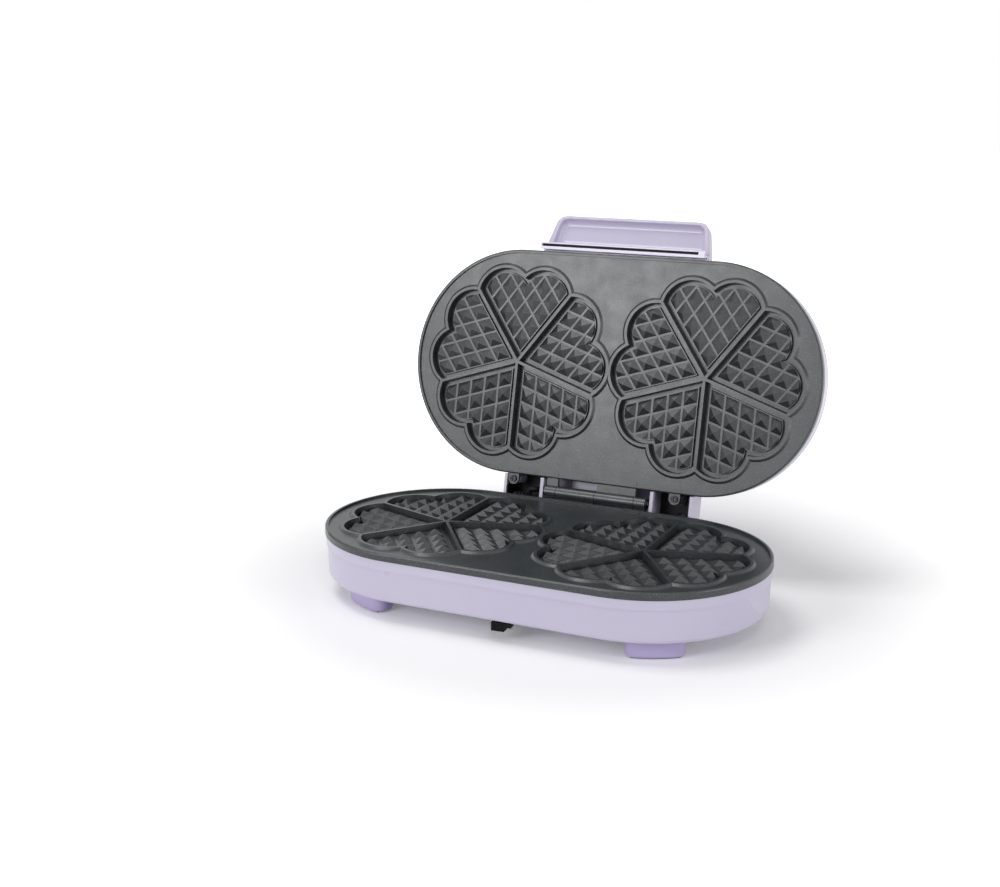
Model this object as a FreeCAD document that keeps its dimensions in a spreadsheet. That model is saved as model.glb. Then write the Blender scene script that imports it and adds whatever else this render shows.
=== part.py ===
import FreeCAD, Part
import math
import os
import re

import Sketcher
from FreeCAD import Placement, Rotation, Vector

# Double heart waffle maker, standing open. Millimetres.
# Every piece is drawn in the plate frame: x to the right, y towards the hinge, z up, with the
# origin at the middle of the plates in the plane where the two plates meet. The pieces of the
# base lie below that plane. The pieces of the lid are drawn closed, above it, and their
# placement swings them up about the hinge pin. Heater pieces are drawn for the base and
# turned over for the lid.

SIZES = {
    # stance
    "foot_height": 17.0,
    "y_shift": 47.929,
    "open_angle": 103.1,
    # outline: two half discs joined by straight sides
    "half_straight": 88.8,
    "plate_round": 99.5,
    "band_height": 6.2,
    "plate_gap": 0.4,
    # shells
    "wall": 2.4,
    "shell_inset": 0.6,
    "skirt_inset": 1.4,
    "skirt_draft": 2.0,
    "step_drop": 8.0,
    "base_depth": 34.8,
    "base_edge_round": 3.5,
    "lid_depth": 26.0,
    "lid_crown_round": 13.0,
    # plate casting
    "rim_width": 2.8,
    "recess_depth": 2.0,
    "web": 3.2,
    "band_width": 5.5,
    "cup_depth": 10.0,
    # rosettes of five hearts
    "rosette_half_distance": 87.4,
    "divider_reach": 78.0,
    "notch_reach": 77.35,
    "lobe_round": 28.0,
    "rib_half": 1.2,
    "rib_width": 2.2,
    "pocket_depth": 7.5,
    "pocket_slope": 0.7,
    "bead_flank": 2.2,
    "field_inset": 5.0,
    "field_edge": 5.8,
    "field_depth": 5.0,
    "cell": 14.2,
    "groove": 1.8,
    "pyramid_height": 3.4,
    # hinge
    "hinge_setback": 12.0,
    "hinge_rise": 2.0,
    "knuckle_round": 5.5,
    "knuckle_long": 36.5,
    "knuckle_short": 10.5,
    "knuckle_gap": 0.4,
    "hinge_arm": 3.4,
    "hinge_arm_drop": 1.6,
    "pin_round": 2.5,
    "pin_clearance": 0.05,
    "pin_overhang": 1.6,
    "clip_round": 4.0,
    "clip_thickness": 0.8,
    # rear screw lugs
    "lug_near": 71.5,
    "lug_inset": 8.0,
    "lug_setback": 4.5,
    "lug_round": 5.0,
    "lug_thickness": 3.0,
    "lug_drop": 1.8,
    "boss_bottom": 13.2,
    "boss_round": 4.5,
    "stop_clearance": 0.3,
    # screws
    "screw_round": 1.5,
    "screw_hole": 1.75,
    "screw_head": 3.1,
    "screw_head_height": 1.8,
    "screw_cross": 4.4,
    "screw_cross_width": 0.9,
    "screw_cross_depth": 1.1,
    # front hooks that hold the plates in the shells
    "hook_offset": 30.0,
    "hook_width": 12.0,
    "hook_thickness": 3.0,
    "hook_depth": 11.0,
    # rear housing of the lid, round the hinge
    "housing_inset": 0.8,
    "housing_gap": 0.7,
    "housing_tail": 19.5,
    "housing_low": 0.6,
    "housing_top": 25.0,
    "cheek_half": 50.0,
    "cheek": 3.0,
    "hinge_wall_tail": 10.0,
    "liner": 1.0,
    "liner_clearance": 0.2,
    # lip and handle at the front of the lid
    "lip_half": 76.0,
    "lip_gap": 1.8,
    "lip_strip": 2.4,
    "lip_slot": 2.4,
    "lip_rim": 1.1,
    "lip_low": 0.8,
    "lip_height": 3.4,
    "lip_slot_left": 74.6,
    "lip_slot_right": 70.5,
    "lip_slot_depth": 2.6,
    "handle_root_half": 76.0,
    "handle_tip_half": 69.5,
    "handle_start": 7.1,
    "handle_reach": 36.4,
    "handle_low": 11.5,
    "handle_tilt": 16.0,
    "handle_depth": 11.0,
    "handle_wall": 3.0,
    "handle_corner": 10.0,
    "handle_inner_corner": 7.0,
    "handle_floor_round": 5.0,
    "handle_rim_round": 1.1,
    "handle_screw_z": 16.5,
    # feet
    "foot_inset": 15.0,
    "foot_width": 20.0,
    "foot_start": 45.6,
    "foot_span": 34.4,
    "foot_corner": 8.0,
    "foot_edge": 2.5,
    "foot_rear_shift": 9.0,
    "pad_thickness": 0.8,
    "pad_margin": 3.0,
    "pad_trim": 4.0,
    # finger scoops in the ends of the base
    "scoop_half": 21.0,
    "scoop_top": 14.0,
    "scoop_bottom": 35.0,
    "scoop_deep": 5.4,
    "scoop_shallow": 0.8,
    "scoop_backing": 5.5,
    # heater
    "element_round": 3.25,
    "element_bend": 45.0,
    "element_drop": 13.8,
    "element_gap_half": 14.0,
    "strap_x": 60.0,
    "strap_post": 2.0,
    "strap_half": 8.5,
    "strap_sheet": 1.2,
    "strap_width": 8.0,
    "reflector_inset": 11.5,
    "reflector_sheet": 0.8,
    "reflector_drop": 21.7,
    "reflector_rim": 3.0,
    "reflector_post_y": 18.0,
    "reflector_post": 3.0,
    # thermostat and browning lever
    "thermostat_y": 26.0,
    "thermostat_round": 12.0,
    "thermostat_top": 11.2,
    "thermostat_height": 12.0,
    "thermostat_neck": 5.0,
    "thermostat_neck_height": 5.0,
    "window_half_x": 24.0,
    "window_half_y": 15.0,
    "shaft_round": 3.0,
    "shaft_clearance": 0.08,
    "lever_thickness": 2.6,
    "lever_gap": 1.0,
    "lever_hub": 8.0,
    "lever_reach": 69.0,
    "lever_arm_half": 4.5,
    "lever_tab_half": 5.2,
    "lever_tab_depth": 7.0,
    "lever_tab_drop": 7.0,
    "lever_shoulder": 5.5,
    "lever_shoulder_drop": 3.4,
    "lever_rest_angle": 5.0,
    # supply
    "gland_height": 25.5,
    "gland_bore": 3.6,
    "gland_round": 7.6,
    "gland_seat": 5.0,
    "gland_length": 9.0,
    "wire_round": 1.2,
    "lead_round": 2.4,
    "lead_x": 63.5,
    "lead_drop": 10.0,
    "lead_bend": 3.0,
}

# Names for levels and places that follow from the sizes above.
DERIVED = {
    "hinge_back": "plate_round + hinge_setback",
    "lug_back": "plate_round + lug_setback",
    "lug_far": "housing_half - lug_inset",
    "housing_half": "half_straight - housing_inset",
    "housing_front": "plate_round + housing_gap",
    "housing_back": "hinge_back + housing_tail",
    "hinge_wall_back": "hinge_back + hinge_wall_tail",
    "foot_round": "plate_round - foot_inset",
    "reflector_round": "plate_round - reflector_inset",
    "handle_screw_x": "handle_root_half - handle_wall",
    "rim_height": "foot_height + base_depth + band_height",
    "shell_round": "plate_round - shell_inset",
    "skirt_round": "plate_round - skirt_inset",
    "inner_round": "plate_round - skirt_inset - wall - skirt_draft * 0.5",
    "base_bottom": "0 - band_height - base_depth",
    "floor_top": "0 - band_height - base_depth + wall",
    "lid_top": "band_height + lid_depth",
    "lid_ceiling": "band_height + lid_depth - wall",
    "cup_bottom": "0 - cup_depth",
    "reflector_low": "0 - reflector_drop",
    "reflector_high": "0 - reflector_drop + reflector_sheet",
    "open_stop": "hinge_back + (housing_back - hinge_back) * cos(open_angle * 1 deg)"
                 " - (hinge_rise - housing_low) * sin(open_angle * 1 deg)",
}

DOC = FreeCAD.newDocument("WaffleMaker")
SHEET = DOC.addObject("Spreadsheet::Sheet", "Sizes")
for row, (alias, value) in enumerate(SIZES.items(), 1):
    SHEET.set(f"A{row}", alias)
    SHEET.set(f"B{row}", str(value))
    SHEET.setAlias(f"B{row}", alias)
DOC.recompute()

X_AXIS, Y_AXIS, Z_AXIS = Vector(1, 0, 0), Vector(0, 1, 0), Vector(0, 0, 1)
SUBPARTS = {}


def ex(text):
    """A FreeCAD expression from plain names: sizes are looked up in the sheet."""
    def name(match):
        word = match.group(0)
        if word in DERIVED:
            return "(" + ex(DERIVED[word]) + ")"
        return "Sizes." + word if word in SIZES else word
    return re.sub(r"[a-z][a-z_]*", name, str(text))


def val(text):
    """The number that an expression stands for now."""
    result = SHEET.evalExpression(ex(text))
    return float(getattr(result, "Value", result))


def bind(obj, **properties):
    for prop, text in properties.items():
        obj.setExpression(prop.replace("__", "."), ex(text))
    return obj


def put(obj, x=0, y=0, z=0, axis=Z_AXIS, angle=0):
    obj.Placement = Placement(Vector(0, 0, 0), Rotation(axis, angle))
    return bind(obj, Placement__Base__x=x, Placement__Base__y=y, Placement__Base__z=z)


def box(name, x, y, z, length, width, height):
    """A box from its low corner."""
    solid = DOC.addObject("Part::Box", name)
    bind(solid, Length=length, Width=width, Height=height)
    return put(solid, x, y, z)


def cylinder(name, x, y, z, radius, height, along="z", span=None):
    solid = DOC.addObject("Part::Cylinder", name)
    bind(solid, Radius=radius, Height=height)
    if span is not None:
        bind(solid, Angle=span)
    turn = {"z": (Z_AXIS, 0), "x": (Y_AXIS, 90), "y": (X_AXIS, -90), "down": (X_AXIS, 180)}[along]
    return put(solid, x, y, z, *turn)


def fuse(name, *shapes):
    joined = DOC.addObject("Part::MultiFuse", name)
    joined.Shapes = list(shapes)
    joined.Refine = True
    return joined


def cut(name, base, *tools):
    result = DOC.addObject("Part::Cut", name)
    result.Base = base
    result.Tool = tools[0] if len(tools) == 1 else fuse(name + "_tools", *tools)
    return result


def group(name, *shapes):
    collected = DOC.addObject("Part::Compound", name)
    collected.Links = list(shapes)
    return collected


def mirrored(name, source, normal):
    copy = DOC.addObject("Part::Mirroring", name)
    copy.Source = source
    copy.Normal = normal
    return copy


def subpart(name, obj, place):
    """Give a finished piece its name and its place on the standing object."""
    if obj.TypeId in ("Part::Box", "Part::Cylinder"):
        obj = group(name + "_piece", obj)
    obj.Label = name
    SUBPARTS[name] = obj
    place(obj)
    return obj


def on_base(obj):
    obj.Placement = Placement()
    bind(obj, Placement__Base__y="0 - y_shift", Placement__Base__z="rim_height")


def on_lid(obj):
    """Swing a closed lid piece up about the hinge pin by the opening angle."""
    cosine, sine = "cos(open_angle * 1 deg)", "sin(open_angle * 1 deg)"
    obj.Placement = Placement(Vector(0, 0, 0), Rotation(X_AXIS, 90))
    bind(obj, Placement__Rotation__Angle="(360 - open_angle) * 1 deg",
         Placement__Base__y=f"hinge_back * (1 - {cosine}) - hinge_rise * {sine} - y_shift",
         Placement__Base__z=f"rim_height + hinge_rise * (1 - {cosine}) + hinge_back * {sine}")


def turned(name, obj):
    """Wrap a piece that was drawn for the base, turned over about y for the lid."""
    obj.Placement = Placement(Vector(0, 0, 0), Rotation(Y_AXIS, 180))
    return group(name, obj)


# ---------------------------------------------------------------- sketches and bodies

def new_body(name):
    return DOC.addObject("PartDesign::Body", name)


def flat_sketch(owner, name, y=0, z=0, tilt=0):
    """An empty sketch on the body's own XY plane, moved to (y, z) and tilted about x."""
    sketch = owner.newObject("Sketcher::SketchObject", name)
    plane = [f for f in owner.Origin.OriginFeatures if f.Role == "XY_Plane"][0]
    sketch.AttachmentSupport = (plane, "")
    sketch.MapMode = "FlatFace"
    sketch.AttachmentOffset = Placement(Vector(0, 0, 0), Rotation(X_AXIS, tilt))
    bind(sketch, AttachmentOffset__Base__y=y, AttachmentOffset__Base__z=z)
    return sketch


def constrain(sketch, values):
    """Add dimension constraints, each bound to an expression."""
    for constraint, text in values:
        index = sketch.addConstraint(constraint)
        sketch.setExpression(f"Constraints[{index}]", ex(text))


def draw_stadium(sketch, radius):
    """Two half circles joined by straight sides, constrained to the sheet."""
    reach, size = val("half_straight"), val(radius)
    right = Part.ArcOfCircle(Part.Circle(Vector(reach, 0, 0), Z_AXIS, size), -math.pi / 2, math.pi / 2)
    left = Part.ArcOfCircle(Part.Circle(Vector(-reach, 0, 0), Z_AXIS, size), math.pi / 2, 1.5 * math.pi)
    sketch.addGeometry(right)
    sketch.addGeometry(Part.LineSegment(Vector(reach, size, 0), Vector(-reach, size, 0)))
    sketch.addGeometry(left)
    sketch.addGeometry(Part.LineSegment(Vector(-reach, -size, 0), Vector(reach, -size, 0)))
    for here, after in ((0, 1), (1, 2), (2, 3), (3, 0)):
        sketch.addConstraint(Sketcher.Constraint("Tangent", here, 2, after, 1))
    for arc in (0, 2):
        sketch.addConstraint(Sketcher.Constraint("PointOnObject", arc, 3, -1))
    sketch.addConstraint(Sketcher.Constraint("Equal", 0, 2))
    constrain(sketch, [
        (Sketcher.Constraint("DistanceX", -1, 1, 0, 3, reach), "half_straight"),
        (Sketcher.Constraint("DistanceX", 2, 3, -1, 1, reach), "half_straight"),
        (Sketcher.Constraint("Radius", 0, size), radius),
    ])


def draw_polygon(sketch, points):
    """A closed outline of straight lines; each corner is dimensioned from the origin."""
    corners = [Vector(val(x), val(y), 0) for x, y in points]
    count = len(corners)
    for index, corner in enumerate(corners):
        sketch.addGeometry(Part.LineSegment(corner, corners[(index + 1) % count]))
    for index in range(count):
        sketch.addConstraint(Sketcher.Constraint("Coincident", index, 2, (index + 1) % count, 1))
    for index, (x, y) in enumerate(points):
        constrain(sketch, [
            (Sketcher.Constraint("DistanceX", -1, 1, index, 1, corners[index].x), x),
            (Sketcher.Constraint("DistanceY", -1, 1, index, 1, corners[index].y), y),
        ])


def pad(body, sketch, length, taper=None):
    feature = body.newObject("PartDesign::Pad", sketch.Name + "_pad")
    feature.Profile = sketch
    bind(feature, Length=length)
    if taper:
        bind(feature, TaperAngle=taper)
    return feature


def pocket(body, sketch, length, upward=False):
    feature = body.newObject("PartDesign::Pocket", sketch.Name + "_pocket")
    feature.Profile = sketch
    feature.Reversed = upward
    bind(feature, Length=length)
    return feature


def stadium_pad(body, name, radius, level, height, taper=None):
    sketch = flat_sketch(body, name, z=level)
    draw_stadium(sketch, radius)
    return pad(body, sketch, height, taper)


def stadium_pocket(body, name, radius, level, depth, upward=False):
    sketch = flat_sketch(body, name, z=level)
    draw_stadium(sketch, radius)
    return pocket(body, sketch, depth, upward)


def round_edges(body, base, radius, wanted):
    """Fillet the edges of a feature that the test picks."""
    DOC.recompute()
    names = [f"Edge{i}" for i, edge in enumerate(base.Shape.Edges, 1) if wanted(edge)]
    fillet = body.newObject("PartDesign::Fillet", base.Name + "_round")
    fillet.Base = (base, names)
    bind(fillet, Radius=radius)
    return fillet


def at_level(level):
    """Pick the edges that lie flat at one height."""
    height = val(level)
    return lambda edge: all(abs(v.Z - height) < 0.01 for v in edge.Vertexes)


# ---------------------------------------------------------------- base

def make_base_shell():
    body = new_body("BaseCasing")
    skirt = stadium_pad(body, "skirt", "skirt_round", "0 - band_height - step_drop",
                        "base_depth - step_drop")
    skirt.Reversed = True
    bind(skirt, TaperAngle="0 - skirt_draft")
    stadium_pad(body, "collar", "shell_round", "0 - band_height - step_drop", "step_drop")
    round_edges(body, body.Tip, "base_edge_round", at_level("base_bottom"))
    stadium_pocket(body, "inside", "inner_round", "0 - band_height", "base_depth - wall")
    parts = [body] + hook_ledges("base", -1) + base_bosses() + scoop_backings()
    tools = base_holes() + scoops()
    return cut("base_shell_cut", fuse("base_shell_solid", *parts), *tools)


def hook_ledges(owner, side):
    """Ribs inside the front wall that the plate hooks slide under."""
    ledges = []
    for index, x in enumerate(("0 - hook_offset", "hook_offset")):
        low = "0 - band_height - 2.7" if side < 0 else "band_height + 1.0"
        ledges.append(box(f"{owner}_ledge_{index}", f"{x} - hook_width / 2 - 1",
                          "0 - shell_round + wall / 2", low, "hook_width + 2",
                          "wall / 2 + 4.5", 1.7))
    return ledges


def scoop_backings():
    """Thicker wall inside the two ends, behind the finger scoops."""
    whole = cylinder("scoop_outer", "half_straight", 0, "floor_top - 0.5", "inner_round + 0.2",
                     "0 - 9 - floor_top", span="2 * scoop_half")
    put(whole, "half_straight", 0, "floor_top - 0.5", Z_AXIS, 90)
    bind(whole, Placement__Rotation__Angle="(360 - scoop_half) * 1 deg")
    hollow = cylinder("scoop_inner", "half_straight", 0, "floor_top - 1",
                      "inner_round - scoop_backing", 40)
    backing = cut("scoop_backing_right", whole, hollow)
    return [backing, mirrored("scoop_backing_left", backing, X_AXIS)]


def scoops():
    """Flat sloping cuts in the ends, deepest at the top, to lift the base by."""
    end = "half_straight + skirt_round"
    wedge = DOC.addObject("Part::Wedge", "scoop_right")
    bind(wedge, Xmin=f"{end} - scoop_shallow", Xmax=f"{end} + 12", X2min=f"{end} - scoop_deep",
         X2max=f"{end} + 12", Ymin=0, Ymax="scoop_bottom - scoop_top",
         Zmin="0 - 60", Zmax=60, Z2min="0 - 60", Z2max=60)
    put(wedge, 0, 0, "0 - scoop_bottom", X_AXIS, 90)
    return [wedge, mirrored("scoop_left", wedge, X_AXIS)]


def base_bosses():
    """Columns behind the rear wall that take the plate lug screws and stop the open lid."""
    parts = []
    for index, x in enumerate(("0 - lug_near", "lug_far")):
        parts.append(cylinder(f"base_boss_{index}", x, "lug_back", "0 - boss_bottom",
                              "boss_round", "boss_bottom - lug_drop - lug_thickness"))
        parts.append(box(f"base_stop_{index}", f"{x} - 2.5", "shell_round - 4", "0 - 28.3", 5,
                         "open_stop - stop_clearance - shell_round + 4", 14))
        parts.append(box(f"base_web_{index}", f"{x} - 2", "shell_round - 3", "0 - 15",
                         4, 6.5, "15 - band_height - 0.2"))
    return parts


def base_holes():
    gland = "0 - rim_height + gland_height"
    tools = [
        cylinder("shaft_hole", 0, "0 - thermostat_y", "base_bottom - 1",
                 "shaft_round + shaft_clearance", "wall + 6"),
        box("gland_hole", "0 - gland_seat", "shell_round - 8", f"{gland} - gland_seat",
            "2 * gland_seat", 12, "2 * gland_seat"),
    ]
    for index, x in enumerate(("0 - lug_near", "lug_far")):
        tools.append(cylinder(f"base_pilot_{index}", x, "lug_back", "0 - 14", "screw_hole", 12))
    for row in range(5):
        for side in (-1, 1):
            tools.append(box(f"vent_{row}_{side + 1}", f"{side} * 62 - 16", f"{row} * 9 - 20",
                             "base_bottom - 1", 32, 3, "wall + 2"))
    tools.append(cylinder("lead_hole", "0 - lead_x", "shell_round - 6", "0 - lead_drop",
                          "lead_round + 0.5", 10, along="y"))
    return tools


def ring_sector(name, outer, inner, low, height, trim="0"):
    """A piece of a ring under the front right corner, about the end of the casing."""
    whole = cylinder(name + "_outer", "half_straight", 0, low, outer, height,
                     span=f"foot_span - 2 * {trim}")
    hollow = cylinder(name + "_inner", "half_straight", 0, f"{low} - 1", inner, f"{height} + 2")
    put(whole, "half_straight", 0, low, Z_AXIS, 90)
    bind(whole, Placement__Rotation__Angle=f"(360 - foot_start - foot_span + {trim}) * 1 deg")
    return cut(name + "_sector", whole, hollow)


def soften(name, base, radius, wanted):
    """Round the edges of a solid that the test picks."""
    DOC.recompute()
    rounded = DOC.addObject("Part::Fillet", name)
    rounded.Base = base
    size = val(radius)
    rounded.Edges = [(i, size, size) for i, edge in enumerate(base.Shape.Edges, 1) if wanted(edge)]
    return rounded


def upright(edge):
    ends = [v.Point for v in edge.Vertexes]
    return len(ends) == 2 and (ends[0] - ends[1]).cross(Z_AXIS).Length < 0.01


def corner_set(name, source):
    """The piece and its three mirror images, one for each corner."""
    pair = group(name + "_pair", source, mirrored(name + "_side", source, X_AXIS))
    far = mirrored(name + "_far", pair, Y_AXIS)
    bind(far, Base__y="foot_rear_shift / 2")
    return group(name + "_set", pair, far)


def make_feet():
    sector = ring_sector("foot", "foot_round", "foot_round - foot_width",
                         "0 - rim_height + pad_thickness", "foot_height - pad_thickness")
    rounded = soften("foot_soft", sector, "foot_corner", upright)
    sole = at_level("0 - rim_height + pad_thickness")
    return corner_set("foot", soften("foot_sole", rounded, "foot_edge", sole))


def make_foot_pads():
    sector = ring_sector("foot_pad", "foot_round - pad_margin",
                         "foot_round - foot_width + pad_margin", "0 - rim_height", "pad_thickness",
                         "pad_trim")
    return corner_set("foot_pad", sector)


# ---------------------------------------------------------------- plates

HALF_HEART = math.radians(36)


def lobe_centre():
    """Centre of a heart's right lobe: its outer circle meets the divider end and the notch."""
    corner = Vector(math.sin(HALF_HEART), math.cos(HALF_HEART), 0) * val("divider_reach")
    notch = Vector(0, val("notch_reach"), 0)
    chord = corner - notch
    inward = Vector(chord.y, -chord.x, 0).normalize()
    rise = math.sqrt(val("lobe_round") ** 2 - (chord.Length / 2) ** 2)
    return (corner + notch) * 0.5 + inward * rise


def heart_outline(inset, lobe, level):
    """One heart: sides set in from the dividers, and two round lobes."""
    centre = lobe_centre()
    along = Vector(math.sin(HALF_HEART), math.cos(HALF_HEART), 0)
    tip = Vector(0, inset / math.sin(HALF_HEART), 0)
    offset = tip - centre
    middle = offset.dot(along)
    reach = -middle + math.sqrt(middle ** 2 - offset.dot(offset) + lobe ** 2)
    corner = tip + along * reach
    notch = Vector(0, centre.y + math.sqrt(lobe ** 2 - centre.x ** 2), 0)
    first = math.atan2(corner.y - centre.y, corner.x - centre.x)
    last = math.atan2(notch.y - centre.y, notch.x - centre.x)
    half = (first + last) / 2
    crest = centre + Vector(math.cos(half), math.sin(half), 0) * lobe
    flip = lambda p: Vector(-p.x, p.y, 0)
    edges = [Part.LineSegment(tip, corner).toShape(),
             Part.Arc(corner, crest, notch).toShape(),
             Part.Arc(notch, flip(crest), flip(corner)).toShape(),
             Part.LineSegment(flip(corner), tip).toShape()]
    wire = Part.Wire(edges)
    wire.translate(Vector(0, 0, level))
    return wire


def heart_solid(*sections):
    """A solid through heart outlines given as (inset, lobe radius, level), bottom first."""
    solid = Part.makeLoft([heart_outline(*section) for section in sections], True, True)
    return solid


def pyramid(corners, apex):
    loop = corners + corners[:1]
    faces = [Part.Face(Part.makePolygon(loop))]
    for first, second in zip(loop, loop[1:]):
        faces.append(Part.Face(Part.makePolygon([first, second, apex, first])))
    solid = Part.makeSolid(Part.makeShell(faces))
    return solid


def pyramid_field(base):
    """Pyramids on a rhombic grid that runs along the two sides of a heart."""
    cell, groove = val("cell"), val("groove")
    right = Vector(math.sin(HALF_HEART), math.cos(HALF_HEART), 0)
    left = Vector(-right.x, right.y, 0)
    start = Vector(0, val("field_inset") / math.sin(HALF_HEART), base)
    margin = groove / 2 / (cell * math.sin(2 * HALF_HEART))
    rise = Vector(0, 0, val("pyramid_height"))
    at = lambda i, j: start + right * (i * cell) + left * (j * cell)
    solids = []
    for i in range(6):
        for j in range(6):
            near, far = margin, 1 - margin
            corners = [at(i + near, j + near), at(i + far, j + near),
                       at(i + far, j + far), at(i + near, j + far)]
            solids.append(pyramid(corners, at(i + 0.5, j + 0.5) + rise))
    lobe = val("lobe_round - field_edge") - groove / 2
    inset = val("field_inset") + groove / 2
    bounds = heart_solid((inset, lobe, base - 1), (inset, lobe, base + rise.z + 1))
    return Part.makeCompound(solids).common(bounds)


def heart_pocket(top):
    """What is missing from the plate in one heart: the pocket less its field of pyramids."""
    depth, slope = val("pocket_depth"), val("pocket_slope")
    inset, lobe = val("rib_half"), val("lobe_round - rib_width")
    lift = slope / depth
    pocket_space = heart_solid((inset + slope, lobe - slope, -depth),
                               (inset - lift, lobe + lift, top + 1))
    level = -val("field_depth")
    edge = val("lobe_round - field_edge")
    side = val("field_inset")
    plateau = heart_solid((side - 0.3, edge + 0.3, -depth - 1), (side, edge, level))
    return pocket_space.cut(plateau).cut(pyramid_field(level))


def rosettes(heart):
    """The same heart ten times: five round each of the two rosette centres."""
    copies = []
    for side in (-1, 1):
        for step in range(5):
            copy = heart.copy()
            copy.rotate(Vector(0, 0, 0), Z_AXIS, 180 + 72 * step)
            copy.translate(Vector(side * val("rosette_half_distance"), 0, 0))
            copies.append(copy)
    return copies


def stadium_solid(radius, low, high):
    straight = val("half_straight")
    block = Part.makeBox(2 * straight, 2 * radius, high - low, Vector(-straight, -radius, low))
    ends = [Part.makeCylinder(radius, high - low, Vector(x, 0, low)) for x in (-straight, straight)]
    return block.fuse(ends).removeSplitter()


def knuckle_spans(order):
    """The x ranges of one plate's knuckles: a long one by the middle, a short one outside."""
    gap = val("knuckle_gap") / 2
    far = val("knuckle_long + knuckle_short")
    middle = val("knuckle_long")
    return [(-middle + gap, -gap), (middle + gap, far)] if order else []


def hinge_parts(rise):
    """Knuckles with arms to the plate. The left long and right short ones, as on the base."""
    y, radius, arm = val("hinge_back"), val("knuckle_round"), val("hinge_arm")
    low = -val("hinge_arm_drop") - arm
    solids = []
    for start, end in knuckle_spans(True):
        solids.append(Part.makeCylinder(radius, end - start, Vector(start, y, rise), X_AXIS))
        root = val("plate_round - band_width")
        solids.append(Part.makeBox(end - start, y - root, arm, Vector(start, root, low)))
    return solids


def lugs(signs):
    """Screw lugs behind the plate, one near and one far."""
    top, thick = -val("lug_drop"), val("lug_thickness")
    solids, holes = [], []
    for x in signs:
        centre = Vector(x, val("lug_back"), top - thick)
        solids.append(Part.makeCylinder(val("lug_round"), thick, centre))
        root = val("plate_round - band_width")
        solids.append(Part.makeBox(2 * val("lug_round"), centre.y - root, thick,
                                   Vector(x - val("lug_round"), root, centre.z)))
        holes.append(Part.makeCylinder(val("screw_hole"), thick + 2, centre - Vector(0, 0, 1)))
    return solids, holes


def plate_shape(rise):
    """One cast plate: band, recessed field, ribs, heart pockets, lugs, hooks and knuckles."""
    top = -val("plate_gap") / 2
    recess = -val("recess_depth")
    low = -val("band_height")
    block = stadium_solid(val("plate_round"), low, top)
    crest = [e for e in block.Edges if all(abs(v.Z - top) < 0.01 for v in e.Vertexes)]
    block = block.makeFillet(1.4, crest)
    block = block.cut(stadium_solid(val("plate_round - rim_width"), recess, top + 1))
    under = stadium_solid(val("plate_round - band_width"), low - 1, recess - val("web"))
    block = block.cut(under)
    lobe = val("lobe_round")
    cup = heart_solid((-1.0, lobe - 0.8, -val("cup_depth")), (-1.0, lobe, recess - val("web")),
                      (-1.0, lobe + val("bead_flank"), recess), (-1.0, lobe + 0.2, top))
    lug_solids, lug_holes = lugs((-val("lug_near"), val("lug_far")))
    hooks = []
    for x in (-val("hook_offset"), val("hook_offset")):
        width, thick, depth = val("hook_width"), val("hook_thickness"), val("hook_depth")
        face = -val("inner_round") + 4.2
        hooks.append(Part.makeBox(width, thick, depth + recess - 1, Vector(x - width / 2, face, -depth)))
        hooks.append(Part.makeBox(width, 3.4, 1.8, Vector(x - width / 2, face - 3.4, -depth)))
    block = block.fuse(rosettes(cup) + lug_solids + hinge_parts(rise) + hooks)
    bore = Part.makeCylinder(val("pin_round + pin_clearance"), 140,
                             Vector(-70, val("hinge_back"), rise), X_AXIS)
    return block.cut(rosettes(heart_pocket(top)) + lug_holes + [bore])


def feature(name, shape):
    """A document object that holds a shape worked out with Part's own functions."""
    obj = DOC.addObject("Part::Feature", name)
    obj.Shape = shape
    return obj


# ---------------------------------------------------------------- pin and clips

def make_hinge_pin():
    return cylinder("pin", "0 - knuckle_long - knuckle_short - clip_thickness - pin_overhang",
                    "hinge_back", "hinge_rise", "pin_round",
                    "2 * (knuckle_long + knuckle_short + clip_thickness + pin_overhang)", along="x")


def make_pin_clips():
    clips = []
    for index, x in enumerate(("0 - knuckle_long - knuckle_short - clip_thickness - 0.2",
                               "knuckle_long + knuckle_short + 0.2")):
        disc = cylinder(f"clip_disc_{index}", x, "hinge_back", "hinge_rise", "clip_round",
                        "clip_thickness", along="x")
        bore = cylinder(f"clip_bore_{index}", f"{x} - 1", "hinge_back", "hinge_rise",
                        "pin_round + 0.02", "clip_thickness + 2", along="x")
        clips.append(cut(f"clip_{index}", disc, bore))
    return group("clips", *clips)


def screw(name, x, y, z, length):
    """A cross-headed screw whose head sits at z with its shank below."""
    head = cylinder(name + "_head", x, y, z, "screw_head", "screw_head_height")
    shank = cylinder(name + "_shank", x, y, f"{z} - {length}", "screw_round", f"{length} + 0.1")
    level = f"{z} + screw_head_height - screw_cross_depth"
    reach, half = "screw_cross / 2", "screw_cross_width / 2"
    slot = box(name + "_slot", f"{x} - {reach}", f"{y} - {half}", level,
               "screw_cross", "screw_cross_width", 2)
    cross = box(name + "_cross", f"{x} - {half}", f"{y} - {reach}", level,
                "screw_cross_width", "screw_cross", 2)
    return cut(name, fuse(name + "_solid", head, shank), slot, cross)


def make_plate_screws(owner):
    return group(f"{owner}_plate_screw_pair",
                 screw(f"{owner}_screw_near", "0 - lug_near", "lug_back", "0 - lug_drop", 11),
                 screw(f"{owner}_screw_far", "lug_far", "lug_back", "0 - lug_drop", 11))


# ---------------------------------------------------------------- heater

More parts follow.
